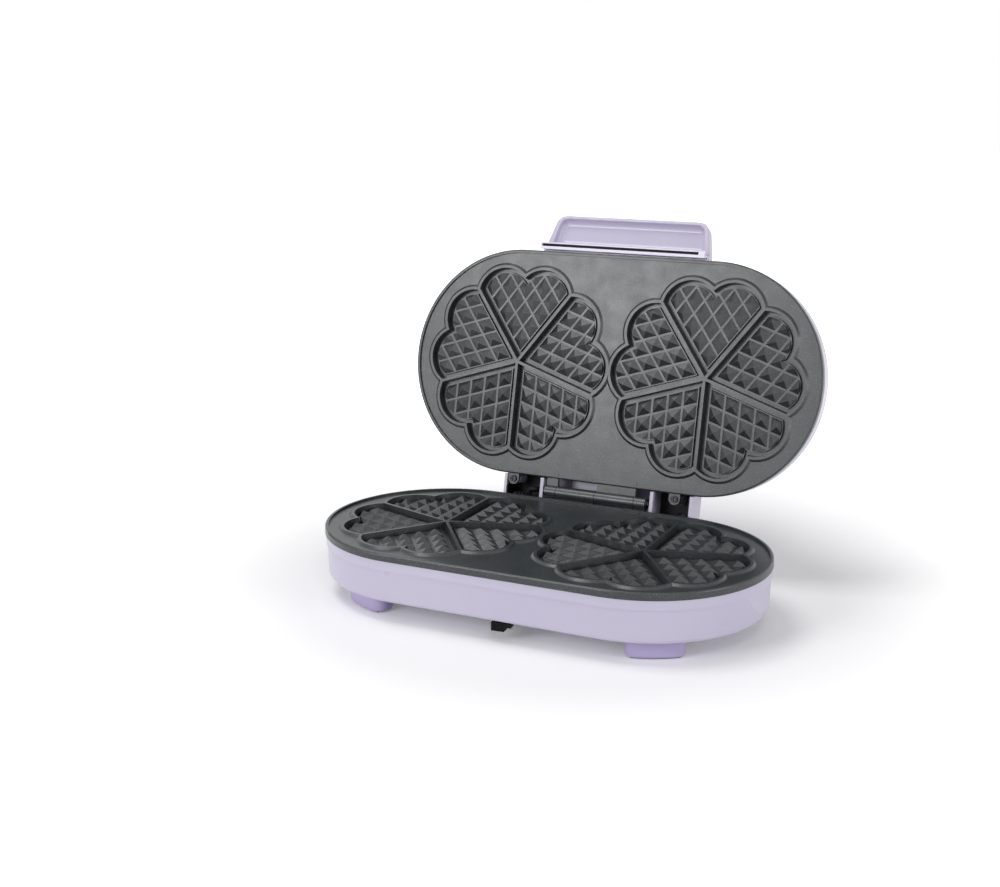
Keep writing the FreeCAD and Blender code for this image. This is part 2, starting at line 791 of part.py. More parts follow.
def rounded_path(points, bend):
    """A wire of straight runs joined by tangent arcs of one radius."""
    corners = [Vector(*p) for p in points]
    edges, start = [], corners[0]
    for before, here, after in zip(corners, corners[1:], corners[2:]):
        back = (before - here).normalize()
        on = (after - here).normalize()
        half = back.getAngle(on) / 2
        trim = bend / math.tan(half)
        enter, leave = here + back * trim, here + on * trim
        inner = here + (back + on).normalize() * (bend / math.sin(half))
        crest = inner + (here - inner).normalize() * bend
        if (enter - start).Length > 0.001:
            edges.append(Part.LineSegment(start, enter).toShape())
        edges.append(Part.Arc(enter, crest, leave).toShape())
        start = leave
    edges.append(Part.LineSegment(start, corners[-1]).toShape())
    return Part.Wire(edges)


def tube(points, radius, bend):
    path = rounded_path(points, bend)
    direction = Vector(*points[1]) - Vector(*points[0])
    ring = Part.Wire(Part.makeCircle(radius, Vector(*points[0]), direction))
    return path.makePipeShell([ring], True, False)


def element_shape():
    """A sheathed heating tube bent round under both rosettes, with its two cold ends."""
    bend, z = val("element_bend"), -val("element_drop")
    far = val("rosette_half_distance") + bend
    gap = val("element_gap_half")
    points = [(gap, bend, z), (far, bend, z), (far, -bend, z), (-far, -bend, z), (-far, bend, z),
              (-gap, bend, z)]
    body = tube(points, val("element_round"), bend)
    ends = [Part.makeCylinder(1.5, 7, Vector(side * gap, bend, z), X_AXIS * -side) for side in (-1, 1)]
    return body.fuse(ends)


def make_straps(owner):
    """Bridges on two posts that hold the element up against the cups."""
    straps = []
    low = "0 - element_drop - element_round - 0.3 - strap_sheet"
    for column, x in enumerate(("0 - strap_x", "strap_x")):
        for line, y in enumerate(("0 - element_bend", "element_bend")):
            name = f"{owner}_strap_{column}{line}"
            bridge = box(name + "_bridge", f"{x} - strap_width / 2", f"{y} - strap_half - 3", low,
                         "strap_width", "2 * strap_half + 6", "strap_sheet")
            posts = [cylinder(f"{name}_post_{i}", x, f"{y} {sign} strap_half", f"{low} + 0.2",
                              "strap_post", f"cup_bottom - ({low}) - 0.2")
                     for i, sign in enumerate("-+")]
            straps.append(fuse(name, bridge, *posts))
    return group(f"{owner}_straps", *straps)


def make_reflector(owner):
    """A sheet metal tray under the element, hung from the cups on four posts."""
    body = new_body(f"{owner}_tray")
    stadium_pad(body, f"{owner}_tray_skin", "reflector_round", "reflector_low",
                "reflector_sheet + reflector_rim")
    stadium_pocket(body, f"{owner}_tray_inside", "reflector_round - reflector_sheet",
                   "reflector_high + reflector_rim", "reflector_rim")
    posts = []
    for column, x in enumerate(("0 - rosette_half_distance", "rosette_half_distance")):
        for line, y in enumerate(("0 - reflector_post_y", "reflector_post_y")):
            posts.append(cylinder(f"{owner}_post_{column}{line}", x, y, "reflector_low + 0.1",
                                  "reflector_post", "cup_bottom - reflector_low - 0.1"))
    ends = box(f"{owner}_cold_window", "0 - element_gap_half - 4", "element_bend - 7",
               "reflector_low - 1", "2 * element_gap_half + 8", 14, 8)
    window = box(f"{owner}_window", "0 - window_half_x", "0 - thermostat_y - window_half_y",
                 "reflector_low - 1", "2 * window_half_x", "2 * window_half_y", 8)
    return cut(f"{owner}_reflector_cut", fuse(f"{owner}_reflector_solid", body, *posts),
               window, ends)


# ---------------------------------------------------------------- thermostat and lever

def make_thermostat():
    low = "0 - thermostat_top - thermostat_height"
    case = cylinder("thermostat_case", 0, "0 - thermostat_y", low, "thermostat_round",
                    "thermostat_height")
    neck = cylinder("thermostat_neck_part", 0, "0 - thermostat_y",
                    f"{low} - thermostat_neck_height", "thermostat_neck",
                    "thermostat_neck_height + 0.1")
    blades = [box(f"thermostat_blade_{side + 1}", f"{side} * 15 - 4", "0 - thermostat_y - 3.2",
                  f"{low} + 3", 8, 6.3, 0.8) for side in (-1, 1)]
    bore = cylinder("thermostat_bore", 0, "0 - thermostat_y", f"{low} - 20",
                    "shaft_round + shaft_clearance", 30)
    return cut("thermostat_cut", fuse("thermostat_solid", case, neck, *blades), bore)


def make_thermostat_bracket():
    """A strip across the cups of both rosettes that the thermostat hangs from."""
    return box("bracket", -24, "0 - thermostat_y - 6", "0 - thermostat_top", 48, 12,
               "thermostat_top - cup_depth")


def make_shaft():
    low = "base_bottom - lever_gap - lever_thickness"
    high = "0 - thermostat_top - thermostat_height + 4"
    return cylinder("shaft", 0, "0 - thermostat_y", low, "shaft_round", f"{high} - ({low})")


def make_lever():
    """A flat arm under the floor with a thumb tab that shows below the front wall."""
    low = "base_bottom - lever_gap - lever_thickness"
    hub = cylinder("lever_hub_part", 0, 0, low, "lever_hub", "lever_thickness")
    arm = box("lever_arm", "0 - lever_arm_half", "0 - lever_reach + 2", low, "2 * lever_arm_half",
              "lever_reach - 2", "lever_thickness")
    tab = box("lever_tab", "0 - lever_tab_half", "0 - lever_reach",
              "base_bottom - lever_gap - lever_tab_drop", "2 * lever_tab_half", "lever_tab_depth",
              "lever_tab_drop")
    shoulder = box("lever_shoulder_part", "lever_tab_half - 1", "0 - lever_reach",
                   "base_bottom - lever_gap - lever_shoulder_drop", "lever_shoulder + 1",
                   "lever_tab_depth", "lever_shoulder_drop")
    ribs = [box(f"lever_rib_{i}", f"{i} * 3.2 - 0.5", "0 - lever_reach - 0.6",
                "base_bottom - lever_gap - lever_tab_drop + 0.6", 1, 1, "lever_tab_drop - 1.6")
            for i in (-1, 0, 1)]
    bore = cylinder("lever_bore", 0, 0, "base_bottom - 20", "shaft_round + 0.02", 30)
    lever = cut("lever_cut", fuse("lever_solid", hub, arm, tab, shoulder, *ribs), bore)
    lever.Placement = Placement(Vector(0, 0, 0), Rotation(Z_AXIS, 8.5))
    bind(lever, Placement__Rotation__Angle="lever_rest_angle * 1 deg",
         Placement__Base__y="0 - thermostat_y")
    return group("lever", lever)


def make_lever_screw():
    low = "base_bottom - lever_gap - lever_thickness"
    return cylinder("lever_screw_head", 0, "0 - thermostat_y", f"{low} - 1.4", 4.2, 1.4)


# ---------------------------------------------------------------- supply in the base

def make_gland():
    """Square-seated bush in the rear wall with a round bore for the supply cord."""
    z = "0 - rim_height + gland_height"
    collar = cylinder("gland_collar", 0, "shell_round - skirt_inset + 1.2", z, "gland_round", 4,
                      along="y")
    seat = box("gland_seat_part", "0 - gland_seat + 0.1", "shell_round - gland_length + 1",
               f"{z} - gland_seat + 0.1", "2 * gland_seat - 0.2", "gland_length",
               "2 * gland_seat - 0.2")
    bore = cylinder("gland_bore_part", 0, "shell_round - 20", z, "gland_bore", 40, along="y")
    return cut("gland", fuse("gland_solid", collar, seat), bore)


def make_cord_clamp():
    """A saddle on the floor that grips the cord behind the gland, with its two screws."""
    base = box("clamp_bar", -11, 78, "floor_top + 8.2", 22, 8, 3)
    posts = [cylinder(f"clamp_post_{side + 1}", side * 8, 82, "floor_top", 2.6, 8.3)
             for side in (-1, 1)]
    holes = [cylinder(f"clamp_hole_{side + 1}", side * 8, 82, "floor_top + 4", "screw_hole", 9)
             for side in (-1, 1)]
    return cut("clamp", fuse("clamp_solid", base, *posts), *holes)


def make_clamp_screws():
    screws = [screw(f"clamp_screw_{side + 1}", side * 8, 82, "floor_top + 11.2", 6)
              for side in (-1, 1)]
    return group("clamp_screws", *screws)


def make_terminal_block():
    block = box("terminal_body", 26, 62, "floor_top", 34, 15, 9)
    tower = [box(f"terminal_tower_{i}", 28 + 11 * i, 66, "floor_top + 8.9", 8, 7, 3) for i in range(3)]
    holes = [cylinder(f"terminal_hole_{i}", 32 + 11 * i, 69.5, "floor_top + 8", 1.6, 6) for i in range(3)]
    return cut("terminal", fuse("terminal_solid", block, *tower), *holes)


def make_terminal_screws():
    return group("terminal_screws", *[
        cylinder(f"terminal_screw_{i}", 32 + 11 * i, 69.5, "floor_top + 8", 1.4, 2.6)
        for i in range(3)])


def make_thermal_fuse():
    return cylinder("fuse_tube", -58, 20, "reflector_low - 4.2", 2.6, 24, along="x")


def make_fuse_clip():
    plate = box("fuse_clip_plate", -50, 14, "reflector_low - 1.0", 8, 12, 1.0)
    cheeks = [box(f"fuse_clip_cheek_{i}", -50, y, "reflector_low - 6", 8, 0.8, 5.1)
              for i, y in enumerate((16.2, 23.0))]
    return fuse("fuse_clip_part", plate, *cheeks)


def wires(runs):
    """Several insulated wires in one piece list."""
    return Part.makeCompound([tube(points, val("wire_round"), bend) for points, bend in runs])


def base_wire_shapes():
    """Terminal block to thermostat and fuse, and on from them to the element's cold ends."""
    low = val("floor_top") + 2.0
    mid = val("floor_top") + 4.5
    y = -val("thermostat_y")
    blade = -val("thermostat_top + thermostat_height") + 2.7
    fuse_z = -val("reflector_drop") - 4.2
    cold, bend = -val("element_drop") - 1.7, val("element_bend")
    return wires([
        ([(25.8, 66, mid), (12, 66, mid), (12, y + 8, mid), (16, y, mid + 2), (16, y, blade)], 4.0),
        ([(25.8, 72, low), (-26, 72, low), (-26, 20, low), (-26, 20, fuse_z), (-33.8, 20, fuse_z)], 3.5),
        ([(-58.2, 20, fuse_z), (-66, 20, fuse_z), (-66, bend, fuse_z), (-9, bend, fuse_z),
          (-9, bend, cold)], 3.5),
        ([(-16, y, blade), (-16, y, mid), (-16, 38, mid), (9, bend, mid), (9, bend, cold)], 4.0),
    ])


# ---------------------------------------------------------------- lid

def make_lid_shell():
    body = new_body("LidCasing")
    stadium_pad(body, "lid_skin", "shell_round", "band_height", "lid_depth")
    round_edges(body, body.Tip, "lid_crown_round", at_level("lid_top"))
    stadium_pocket(body, "lid_inside", "shell_round - wall", "band_height",
                   "lid_depth - wall - 6", upward=True)
    stadium_pocket(body, "lid_crown_inside", "shell_round - lid_crown_round + 5",
                   "band_height + lid_depth - wall - 6.1", "6.1", upward=True)
    walls = [body] + hook_ledges("lid", 1) + lid_lip() + lid_housing()
    holes = [cylinder(f"lamp_hole_{i}", x, -62, "lid_top - 8", 3.3, 12)
             for i, x in enumerate((-12, 12))]
    slot = lip_slot_box("lip_slot_cut", "lip_low - 1", "0")
    return cut("lid_cut", fuse("lid_solid", *walls), slot, *lid_pilots(), *holes)


def lid_lip():
    """The narrow ledge in front of the plate, with a dark gap between it and the plate."""
    reach = "lip_gap + lip_strip + lip_slot + lip_rim"
    front = f"0 - plate_round - ({reach})"
    return [box("lip", "0 - lip_half", front, "lip_low", "2 * lip_half",
                "lip_strip + lip_slot + lip_rim", "lip_height"),
            box("lip_root", "0 - lip_half", "0 - plate_round - lip_gap - lip_strip",
                "lip_low + lip_height - 0.1", "2 * lip_half", 1.6, 7.5),
            box("lip_bridge", "0 - lip_half", "0 - plate_round - lip_gap - lip_strip",
                "band_height + 2.6", "2 * lip_half", "lip_gap + lip_strip + 1.2", 2.4)]


def lip_slot_box(name, low, clearance):
    """The long slot in the ledge, or what fits in it with a clearance all round."""
    front = "0 - plate_round - lip_gap - lip_strip - lip_slot"
    return box(name, f"{clearance} - lip_slot_left", f"{front} + {clearance}", low,
               f"lip_slot_left + lip_slot_right - 2 * {clearance}", f"lip_slot - 2 * {clearance}",
               f"lip_low + lip_slot_depth - ({low})")


def make_slot_strip():
    """The black strip at the bottom of the slot."""
    return group("slot_strip_set", lip_slot_box("slot_strip_bar", "lip_low + lip_slot_depth - 1",
                                                "0.1"))


def lid_housing():
    """The box behind the lid that hides the hinge, open on the side of the base."""
    front, back = "housing_front", "housing_back"
    height = "housing_top - housing_low"
    long = "housing_back - housing_front"
    parts = [
        box("housing_roof", "0 - housing_half", "shell_round - 2", "housing_top - wall",
            "2 * housing_half", "housing_back - shell_round + 2", "wall"),
        box("housing_rear", "0 - housing_half", "housing_back - wall", "housing_low",
            "2 * housing_half", "wall", height),
        box("hinge_wall", "0 - cheek_half", "hinge_wall_back - 2", "housing_low",
            "2 * cheek_half", 2, height),
    ]
    for index, x in enumerate(("0 - housing_half", "housing_half - wall")):
        parts.append(box(f"housing_end_{index}", x, front, "housing_low", "wall", long, height))
        parts.append(box(f"housing_root_{index}", x, "shell_round - 2", "band_height + 0.3", "wall",
                         4, "housing_top - band_height - 0.3"))
    for index, x in enumerate(("0 - cheek_half - cheek", "cheek_half")):
        parts.append(box(f"cheek_{index}", x, front, "housing_low", "cheek",
                         "hinge_wall_back - housing_front", height))
    for index, x in enumerate(("0 - lug_far", "lug_near")):
        parts.append(cylinder(f"lid_boss_{index}", x, "lug_back", "lug_drop + lug_thickness",
                              "boss_round", "housing_top - 1 - lug_drop - lug_thickness"))
    return parts


def lid_pilots():
    """Screw holes in the lid: under the plate lugs, and through the front wall for the handle."""
    lugs_up = [cylinder(f"lid_pilot_{i}", x, "lug_back", "lug_drop + lug_thickness - 1",
                        "screw_hole", 14) for i, x in enumerate(("0 - lug_far", "lug_near"))]
    front = [cylinder(f"lid_front_{i}", x, "0 - shell_round - 1", "handle_screw_z", "screw_hole",
                      8, along="y") for i, x in enumerate(("0 - handle_screw_x", "handle_screw_x"))]
    lead = cylinder("lid_lead_hole", "lead_bend * 2 + 0.5 - lead_x", "shell_round - 5",
                    "hinge_rise + 14", "lead_round + 0.4", 8, along="y")
    return lugs_up + front + [lead]


def handle_frame(point):
    """How far a point lies out along the tilted handle, and how far up through it."""
    tilt = math.radians(val("handle_tilt"))
    y, z = point.y + val("shell_round"), point.z - val("handle_low")
    return (-y * math.cos(tilt) + z * math.sin(tilt), y * math.sin(tilt) + z * math.cos(tilt))


def handle_edge(level, first, last):
    """Pick the handle's edges at one height through it, between two distances out along it."""
    def wanted(edge):
        places = [handle_frame(v.Point) for v in edge.Vertexes]
        flat = all(abs(up - level) < 0.01 for _, up in places)
        return flat and first < max(out for out, _ in places) < last
    return wanted


def handle_corner_edge(length):
    """Pick the handle's outer corner edges of one length."""
    limit = val("handle_reach") * 0.8
    return lambda edge: (abs(edge.Length - length) < 0.01
                         and all(handle_frame(v.Point)[0] > limit for v in edge.Vertexes))


def make_handle():
    """A tilted dish: solid on top, hollow underneath where the fingers go."""
    body = new_body("HandleBody")
    place = dict(y="0 - shell_round", z="handle_low", tilt=-val("handle_tilt"))
    depth, hollow_depth = val("handle_depth"), val("handle_depth - handle_wall")
    reach = val("handle_reach")
    outline = flat_sketch(body, "handle_outline", **place)
    draw_polygon(outline, [
        ("0 - handle_root_half", "0 - handle_start"), ("0 - handle_root_half", 6),
        ("handle_root_half", 6), ("handle_root_half", "0 - handle_start"),
        ("handle_tip_half", "0 - handle_reach"), ("0 - handle_tip_half", "0 - handle_reach")])
    pad(body, outline, "handle_depth")
    round_edges(body, body.Tip, "handle_corner", handle_corner_edge(depth))
    hollow = flat_sketch(body, "handle_hollow", **place)
    root = "handle_root_half - handle_wall - 3"
    tip = "handle_tip_half - handle_wall"
    draw_polygon(hollow, [
        (f"0 - ({root})", "0 - handle_start - 3.2"), (root, "0 - handle_start - 3.2"),
        (tip, "handle_wall - handle_reach"), (f"0 - ({tip})", "handle_wall - handle_reach")])
    pocket(body, hollow, "handle_depth - handle_wall", upward=True)
    round_edges(body, body.Tip, "handle_inner_corner", handle_corner_edge(hollow_depth))
    round_edges(body, body.Tip, "handle_floor_round", handle_edge(hollow_depth, 0, reach))
    round_edges(body, body.Tip, "handle_rim_round", handle_edge(0, 0, reach + 1))
    round_edges(body, body.Tip, "handle_rim_round", handle_edge(depth, 0, reach + 1))
    groove = flat_sketch(body, "handle_groove", **place)
    half = "handle_root_half - 6"
    draw_polygon(groove, [
        (f"0 - ({half})", "0 - handle_start - 0.8"), (half, "0 - handle_start - 0.8"),
        (half, 8), (f"0 - ({half})", 8)])
    pocket(body, groove, "handle_depth - handle_wall", upward=True)
    DOC.recompute()
    wall = box("handle_seat", -100, "0 - shell_round", 0, 200, 20, 40)
    pilots = [cylinder(f"handle_pilot_{i}", x, "0 - shell_round - 7", "handle_screw_z",
                       "screw_round + 0.1", 10, along="y")
              for i, x in enumerate(("0 - handle_screw_x", "handle_screw_x"))]
    return cut("handle_cut", body, wall, *pilots)


def make_handle_screws():
    screws = []
    for index, x in enumerate(("0 - handle_screw_x", "handle_screw_x")):
        head = cylinder(f"handle_head_{index}", x, "wall - shell_round", "handle_screw_z",
                        "screw_head", "screw_head_height", along="y")
        shank = cylinder(f"handle_shank_{index}", x, "0 - shell_round - 6", "handle_screw_z",
                         "screw_round", "wall + 6.1", along="y")
        screws.append(fuse(f"handle_screw_{index}", head, shank))
    return group("handle_screw_pair", *screws)


def make_hinge_liners():
    """Black sheets inside the two outer bays of the housing, with holes for the screw bosses."""
    gap = "liner_clearance"
    inner, outer = f"cheek_half + cheek + {gap}", f"housing_half - wall - {gap}"
    front, deep = "housing_front + 0.8", "housing_back - wall - liner"
    low, high = "housing_low + 0.5", "housing_top - wall - liner"
    liners = []
    for side, x, end, boss in (("left", f"0 - ({outer})", f"0 - ({outer})", "0 - lug_far"),
                               ("right", inner, f"{outer} - liner", "lug_near")):
        roof = box(f"liner_roof_{side}", x, front, high, f"{outer} - ({inner})",
                   f"{deep} - ({front}) + liner", "liner")
        rear = box(f"liner_rear_{side}", x, deep, low, f"{outer} - ({inner})", "liner",
                   f"{high} - ({low}) + 0.1")
        flank = box(f"liner_flank_{side}", end, front, low, "liner", f"{deep} - ({front}) + 0.1",
                    f"{high} - ({low}) + 0.1")
        hole = cylinder(f"liner_hole_{side}", boss, "lug_back", low, f"boss_round + {gap} + 0.1",
                        "housing_top")
        notch = box(f"liner_notch_{side}", f"{boss} - lug_round - 1", front, "0",
                    "2 * lug_round + 2", "lug_back + lug_round + 0.6 - housing_front - 0.8",
                    "lug_drop + lug_thickness + 0.6")
        sheet = fuse(f"liner_sheet_{side}", roof, rear, flank)
        liners.append(cut(f"liner_{side}", sheet, hole, notch))
    return group("liners", *liners)


def make_lens(name, x):
    barrel = cylinder(name + "_barrel", x, -62, "lid_top - 5", 3.0, 5.2)
    flange = cylinder(name + "_flange", x, -62, "lid_top", 4.2, 0.8)
    dome = DOC.addObject("Part::Sphere", name + "_dome")
    bind(dome, Radius=5.2)
    put(dome, x, -62, "lid_top - 2.6")
    cap = DOC.addObject("Part::Common", name + "_cap")
    cap.Base = dome
    cap.Tool = cylinder(name + "_reach", x, -62, "lid_top + 0.7", 4.2, 4)
    return fuse(name, barrel, flange, cap)


def make_lamp_holder():
    board = box("lamp_board", -22, -70, "reflector_drop + 1.2", 44, 16, 1.4)
    posts = [cylinder(f"lamp_post_{i}", x, -62, "reflector_drop + 2.5", 2.2,
                      "lid_ceiling - reflector_drop - 2.5") for i, x in enumerate((-19, 19))]
    return fuse("lamp_holder_solid", board, *posts)


def make_neon_lamps():
    return group("neons", *[cylinder(f"neon_{i}", x, -62, "reflector_drop + 2.6", 1.6, 2.6)
                            for i, x in enumerate((-12, 12))])


def lid_wire_shapes():
    """Two wires to the lamps and two to the element, all gathered at the lead."""
    z = val("reflector_drop")
    entry = -val("lead_x") + 2 * val("lead_bend") + 0.5
    deep, high, way = val("hinge_rise") + 14, z + 5.8, z + 2.9
    back, cold, bend = val("reflector_round") + 1.5, val("element_drop") + 1.7, val("element_bend")
    runs = []
    for index, start in enumerate([
            [(-20, -53.8, z + 1.9), (-20, -44, high), (-40, 40, high)],
            [(20, -53.8, z + 1.9), (20, -44, high), (-30, 50, high)],
            [(-9, bend, cold), (-9, bend, way), (-44, 56, way)],
            [(9, bend, cold), (9, bend, way), (-36, 66, way)]]):
        x = entry + (index - 1.5) * 2.6
        level = start[-1][2]
        end = [(x, 76, level), (x, back, level), (x, back, deep), (x, back + 2.4, deep)]
        runs.append((start + end, 2.0))
    return wires(runs)


# ---------------------------------------------------------------- lead between base and lid

def base_lead_shape():
    """From the rear wall of the base back and up to the hinge line, then along it."""
    x, y, z = -val("lead_x"), val("hinge_back"), val("hinge_rise")
    bend, low = val("lead_bend"), -val("lead_drop")
    return tube([(x, val("shell_round") - 4, low), (x, y, low), (x, y, z),
                 (x + bend + 0.25, y, z)], val("lead_round"), bend)


def lid_lead_shape():
    """From the same point on the hinge line into the lid, so that it only twists there."""
    bend = val("lead_bend")
    y, z = val("hinge_back"), val("hinge_rise")
    start = -val("lead_x") + bend + 0.25
    x = start + bend + 0.25
    return tube([(start, y, z), (x, y, z), (x, y, z + 14), (x, val("shell_round") - 6.6, z + 14)],
                val("lead_round"), bend)


# ---------------------------------------------------------------- assembly

def assemble():
    subpart("base_shell", make_base_shell(), on_base)
    subpart("feet", make_feet(), on_base)
    subpart("foot_pads", make_foot_pads(), on_base)
    subpart("lower_plate", feature("plate_low", plate_shape(val("hinge_rise"))), on_base)
    subpart("lower_element", feature("element_low", element_shape()), on_base)
    subpart("lower_element_straps", make_straps("low"), on_base)
    subpart("lower_reflector", make_reflector("low"), on_base)
    subpart("lower_plate_screws", make_plate_screws("low"), on_base)
    subpart("hinge_pin", make_hinge_pin(), on_base)
    subpart("hinge_pin_clips", make_pin_clips(), on_base)
    subpart("thermostat", make_thermostat(), on_base)
    subpart("thermostat_bracket", make_thermostat_bracket(), on_base)
    subpart("thermostat_shaft", make_shaft(), on_base)
    subpart("browning_lever", make_lever(), on_base)
    subpart("browning_lever_screw", make_lever_screw(), on_base)
    subpart("cord_gland", make_gland(), on_base)
    subpart("cord_clamp", make_cord_clamp(), on_base)
    subpart("cord_clamp_screws", make_clamp_screws(), on_base)
    subpart("terminal_block", make_terminal_block(), on_base)
    subpart("terminal_screws", make_terminal_screws(), on_base)
    subpart("thermal_fuse", make_thermal_fuse(), on_base)
    subpart("thermal_fuse_clip", make_fuse_clip(), on_base)
    subpart("base_wiring", feature("wires_low", base_wire_shapes()), on_base)
    subpart("base_lead", feature("lead_low", base_lead_shape()), on_base)
    subpart("lid_shell", make_lid_shell(), on_lid)
    subpart("hinge_liners", make_hinge_liners(), on_lid)
    subpart("slot_strip", make_slot_strip(), on_lid)
    subpart("lid_handle", make_handle(), on_lid)
    subpart("handle_screws", make_handle_screws(), on_lid)
    turned_plate = turned("plate_up_turned", feature("plate_up", plate_shape(-val("hinge_rise"))))
    subpart("upper_plate", turned_plate, on_lid)
    subpart("upper_element", turned("element_up", feature("element_new", element_shape())), on_lid)
    subpart("upper_element_straps", turned("straps_up", make_straps("up")), on_lid)
    subpart("upper_reflector", turned("reflector_up", make_reflector("up")), on_lid)
    subpart("upper_plate_screws", turned("screws_up", make_plate_screws("up")), on_lid)
    subpart("power_lamp_lens", make_lens("power_lens", -12), on_lid)
    subpart("ready_lamp_lens", make_lens("ready_lens", 12), on_lid)
    subpart("lamp_holder", make_lamp_holder(), on_lid)
    subpart("neon_lamps", make_neon_lamps(), on_lid)
    subpart("lid_wiring", feature("wires_up", lid_wire_shapes()), on_lid)
    subpart("lid_lead", feature("lead_up", lid_lead_shape()), on_lid)


def check_document():
    DOC.recompute()
    failed = [o.Name for o in DOC.Objects if {"Invalid", "Error"} & set(o.State)]
    if failed:
        raise RuntimeError(f"objects that failed: {failed}")
    for name, obj in SUBPARTS.items():
        if obj.Shape.isNull() or not obj.Shape.isValid() or not obj.Shape.Solids:
            raise RuntimeError(f"{name} has no valid shape")


def write_steps():
    os.makedirs("parts", exist_ok=True)
    whole = FreeCAD.BoundBox()
    for name, obj in SUBPARTS.items():
        obj.Shape.exportStep(f"parts/{name}.step")
        bounds = obj.Shape.optimalBoundingBox()
        whole.add(bounds)
        print(f"{name}: {len(obj.Shape.Solids)} solids, {obj.Shape.Volume:.0f} mm3, "
              f"y {bounds.YMin:.1f}..{bounds.YMax:.1f}, z {bounds.ZMin:.1f}..{bounds.ZMax:.1f}")
    print(f"whole: x {whole.XMin:.2f}..{whole.XMax:.2f}, y {whole.YMin:.2f}..{whole.YMax:.2f}, "
          f"z {whole.ZMin:.2f}..{whole.ZMax:.2f}, middle y {(whole.YMin + whole.YMax) / 2:.3f}")


assemble()
check_document()
write_steps()
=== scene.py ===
"""Looks of a double heart waffle maker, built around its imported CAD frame."""

import bpy
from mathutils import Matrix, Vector

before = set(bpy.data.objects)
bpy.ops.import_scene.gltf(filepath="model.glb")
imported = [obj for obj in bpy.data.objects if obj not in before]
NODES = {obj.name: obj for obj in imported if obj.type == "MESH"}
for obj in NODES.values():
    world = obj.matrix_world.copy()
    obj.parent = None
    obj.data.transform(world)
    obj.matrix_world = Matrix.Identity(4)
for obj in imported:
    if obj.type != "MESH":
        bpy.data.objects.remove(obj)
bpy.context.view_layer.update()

WHITE = (1.0, 1.0, 1.0, 1.0)

# Camera: places in metres, lens and sensor in millimetres
CAMERA_PLACE = (0.4912, -1.1284, 0.4358)
CAMERA_TARGET = (-0.0387, -0.0466, 0.1294)
CAMERA_LENS = 55.4
SENSOR_WIDTH = 36.0

# Softboxes: name, place, target, width and height in metres, power in watts
SOFTBOXES = (
    ("key", (-0.8, -1.75, 0.8), (0, 0, 0.14), 0.75, 0.65, 13.5),
    ("brow", (0.8, -1.35, 1.5), (0, 0.05, 0.15), 0.5, 0.5, 4),
    ("fill", (2.1, -0.3, 0.6), (0, 0, 0.1), 0.9, 0.9, 12),
    ("top", (-0.7, -0.35, 2.1), (0, 0, 0.1), 0.9, 0.9, 14),
)
WORLD_LIGHT = 0.3

# Table top: its own glow grows from the object outwards, so that it runs into the white behind
TABLE_WIDTH = 12
GLOW_UNDER = 0.12
GLOW_AWAY = 1.1
GLOW_START = 0.22
GLOW_END = 0.7


def tone(red, green, blue):
    """A colour given in screen values from 0 to 255, as a shader wants it."""

    def linear(value):
        share = value / 255
        if share <= 0.04045:
            return share / 12.92
        return ((share + 0.055) / 1.055) ** 2.4

    return (linear(red), linear(green), linear(blue), 1.0)


# ---------------------------------------------------------------- materials


class Finish:
    """One material's node tree, with short calls for the nodes that the finishes share."""

    def __init__(self, name, **settings):
        self.material = bpy.data.materials.new(name)
        self.material.use_nodes = True
        self.nodes = self.material.node_tree.nodes
        self.links = self.material.node_tree.links
        self.shader = self.nodes["Principled BSDF"]
        for socket, value in settings.items():
            self.shader.inputs[socket.replace("_", " ")].default_value = value
        self.place = self.nodes.new("ShaderNodeTexCoord").outputs["Object"]

    def link(self, output, target, socket=None):
        """Joins an output to a socket, or to the named socket of a node."""
        if socket is not None:
            target = target.inputs[socket]
        self.links.new(output, target)

    def stretched(self, scale):
        """The place on the piece, stretched by a factor along each axis."""
        mapping = self.nodes.new("ShaderNodeMapping")
        mapping.inputs["Scale"].default_value = scale
        self.link(self.place, mapping, "Vector")
        return mapping.outputs["Vector"]

    def noise(self, size, detail=3.0, place=None):
        """Soft noise whose patches are about size metres wide."""
        node = self.nodes.new("ShaderNodeTexNoise")
        node.inputs["Scale"].default_value = 1 / size
        node.inputs["Detail"].default_value = detail
        self.link(place or self.place, node, "Vector")
        return node.outputs["Fac"]

    def spread(self, value, low, high, start=0.0, end=1.0):
        """The value's range from start to end, spread over low to high."""
        node = self.nodes.new("ShaderNodeMapRange")
        node.inputs["From Min"].default_value = start
        node.inputs["From Max"].default_value = end
        node.inputs["To Min"].default_value = low
        node.inputs["To Max"].default_value = high
        self.link(value, node, "Value")
        return node.outputs["Result"]

    def mix(self, share, first, second):
        """A blend of two colours, each a socket or a plain colour."""
        node = self.nodes.new("ShaderNodeMix")
        node.data_type = "RGBA"
        self.link(share, node.inputs["Factor"])
        for socket, colour in ((node.inputs[6], first), (node.inputs[7], second)):
            if isinstance(colour, tuple):
                socket.default_value = colour
            else:
                self.link(colour, socket)
        return node.outputs[2]

    def colour(self, value):
        """Gives the shader its colour."""
        self.link(value, self.shader, "Base Color")

    def roughness(self, value):
        """Gives the shader its roughness."""
        self.link(value, self.shader, "Roughness")

    def relief(self, height, depth, strength, under=None):
        """A bump whose full height is depth metres, over the one under it."""
        node = self.nodes.new("ShaderNodeBump")
        node.inputs["Strength"].default_value = strength
        node.inputs["Distance"].default_value = depth
        self.link(height, node, "Height")
        if under is not None:
            self.link(under, node, "Normal")
        self.link(node.outputs["Normal"], self.shader, "Normal")
        return node.outputs["Normal"]


